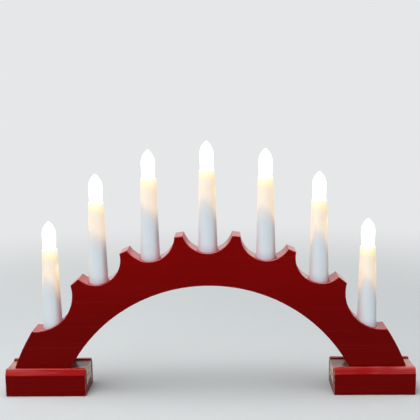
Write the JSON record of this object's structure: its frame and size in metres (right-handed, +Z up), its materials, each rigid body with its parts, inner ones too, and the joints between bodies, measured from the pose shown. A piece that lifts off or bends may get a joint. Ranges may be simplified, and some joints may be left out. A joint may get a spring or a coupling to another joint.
{
  "type": "candle arch",
  "caption": "Scalloped wooden arch on two built-up feet, carrying a row of electric candles with screw lamps, to stand on a sill or table.",
  "frame": {"origin": "on the table under the middle of the arch, at half its depth", "axes": "+X along the arch to the right as seen from the front, +Y to the back, +Z up"},
  "size_m": [0.4, 0.039, 0.2472],
  "materials": {
    "red_paint": "red gloss paint on wood",
    "candle_white": "translucent white plastic, satin",
    "lamp_glass": "clear pointed lamp, lit",
    "nickel_cap": "bright nickel",
    "filament": "drawn wire",
    "holder_white": "moulded plastic",
    "brass": "rolled brass",
    "zinc_steel": "zinc plated",
    "white_bush": "moulded plastic",
    "wire_cover": "soft PVC cover"
  },
  "bodies": {
    "root": {"arch_board": "red_paint", "front_bar_left": "red_paint", "front_bar_right": "red_paint", "back_bar_left": "red_paint", "back_bar_right": "red_paint", "foot_screws": "zinc_steel", "lead_bush": "white_bush", "wire_staples": "zinc_steel", "centre_contacts": "brass", "supply_core": "wire_cover", "return_core": "wire_cover", "lamp_holder_1": "holder_white", "screw_shell_1": "brass", "series_link_1": "wire_cover", "lamp_holder_2": "holder_white", "screw_shell_2": "brass", "series_link_2": "wire_cover", "lamp_holder_3": "holder_white", "screw_shell_3": "brass", "series_link_3": "wire_cover", "lamp_holder_4": "holder_white", "screw_shell_4": "brass", "series_link_4": "wire_cover", "lamp_holder_5": "holder_white", "screw_shell_5": "brass", "series_link_5": "wire_cover", "lamp_holder_6": "holder_white", "screw_shell_6": "brass", "series_link_6": "wire_cover", "lamp_holder_7": "holder_white", "screw_shell_7": "brass"},
    "candle_1": {"candle_sleeve_1": "candle_white"},
    "lamp_1": {"lamp_glass_1": "lamp_glass", "lamp_cap_1": "nickel_cap", "lamp_filament_1": "filament"},
    "candle_2": {"candle_sleeve_2": "candle_white"},
    "lamp_2": {"lamp_glass_2": "lamp_glass", "lamp_cap_2": "nickel_cap", "lamp_filament_2": "filament"},
    "candle_3": {"candle_sleeve_3": "candle_white"},
    "lamp_3": {"lamp_glass_3": "lamp_glass", "lamp_cap_3": "nickel_cap", "lamp_filament_3": "filament"},
    "candle_4": {"candle_sleeve_4": "candle_white"},
    "lamp_4": {"lamp_glass_4": "lamp_glass", "lamp_cap_4": "nickel_cap", "lamp_filament_4": "filament"},
    "candle_5": {"candle_sleeve_5": "candle_white"},
    "lamp_5": {"lamp_glass_5": "lamp_glass", "lamp_cap_5": "nickel_cap", "lamp_filament_5": "filament"},
    "candle_6": {"candle_sleeve_6": "candle_white"},
    "lamp_6": {"lamp_glass_6": "lamp_glass", "lamp_cap_6": "nickel_cap", "lamp_filament_6": "filament"},
    "candle_7": {"candle_sleeve_7": "candle_white"},
    "lamp_7": {"lamp_glass_7": "lamp_glass", "lamp_cap_7": "nickel_cap", "lamp_filament_7": "filament"}
  },
  "joints": [
    {"name": "sleeve_lift_1", "type": "slide", "parent": "root", "child": "candle_1", "axis": [0, 0, 1], "range_m": [0, 0.08]},
    {"name": "lamp_unscrew_1", "type": "hinge", "parent": "candle_1", "child": "lamp_1", "pos_m": [-0.15502, 0, 0.12677], "axis": [0, 0, 1], "range_deg": [0, 990]},
    {"name": "sleeve_lift_2", "type": "slide", "parent": "root", "child": "candle_2", "axis": [0, 0, 1], "range_m": [0, 0.08]},
    {"name": "lamp_unscrew_2", "type": "hinge", "parent": "candle_2", "child": "lamp_2", "pos_m": [-0.10781, 0, 0.17271], "axis": [0, 0, 1], "range_deg": [0, 990]},
    {"name": "sleeve_lift_3", "type": "slide", "parent": "root", "child": "candle_3", "axis": [0, 0, 1], "range_m": [0, 0.08]},
    {"name": "lamp_unscrew_3", "type": "hinge", "parent": "candle_3", "child": "lamp_3", "pos_m": [-0.05631, 0, 0.19537], "axis": [0, 0, 1], "range_deg": [0, 990]},
    {"name": "sleeve_lift_4", "type": "slide", "parent": "root", "child": "candle_4", "axis": [0, 0, 1], "range_m": [0, 0.08]},
    {"name": "lamp_unscrew_4", "type": "hinge", "parent": "candle_4", "child": "lamp_4", "pos_m": [0, 0, 0.20311], "axis": [0, 0, 1], "range_deg": [0, 990]},
    {"name": "sleeve_lift_5", "type": "slide", "parent": "root", "child": "candle_5", "axis": [0, 0, 1], "range_m": [0, 0.08]},
    {"name": "lamp_unscrew_5", "type": "hinge", "parent": "candle_5", "child": "lamp_5", "pos_m": [0.05631, 0, 0.19537], "axis": [0, 0, 1], "range_deg": [0, 990]},
    {"name": "sleeve_lift_6", "type": "slide", "parent": "root", "child": "candle_6", "axis": [0, 0, 1], "range_m": [0, 0.08]},
    {"name": "lamp_unscrew_6", "type": "hinge", "parent": "candle_6", "child": "lamp_6", "pos_m": [0.10781, 0, 0.17271], "axis": [0, 0, 1], "range_deg": [0, 990]},
    {"name": "sleeve_lift_7", "type": "slide", "parent": "root", "child": "candle_7", "axis": [0, 0, 1], "range_m": [0, 0.08]},
    {"name": "lamp_unscrew_7", "type": "hinge", "parent": "candle_7", "child": "lamp_7", "pos_m": [0.15502, 0, 0.12677], "axis": [0, 0, 1], "range_deg": [0, 990]}
  ]
}
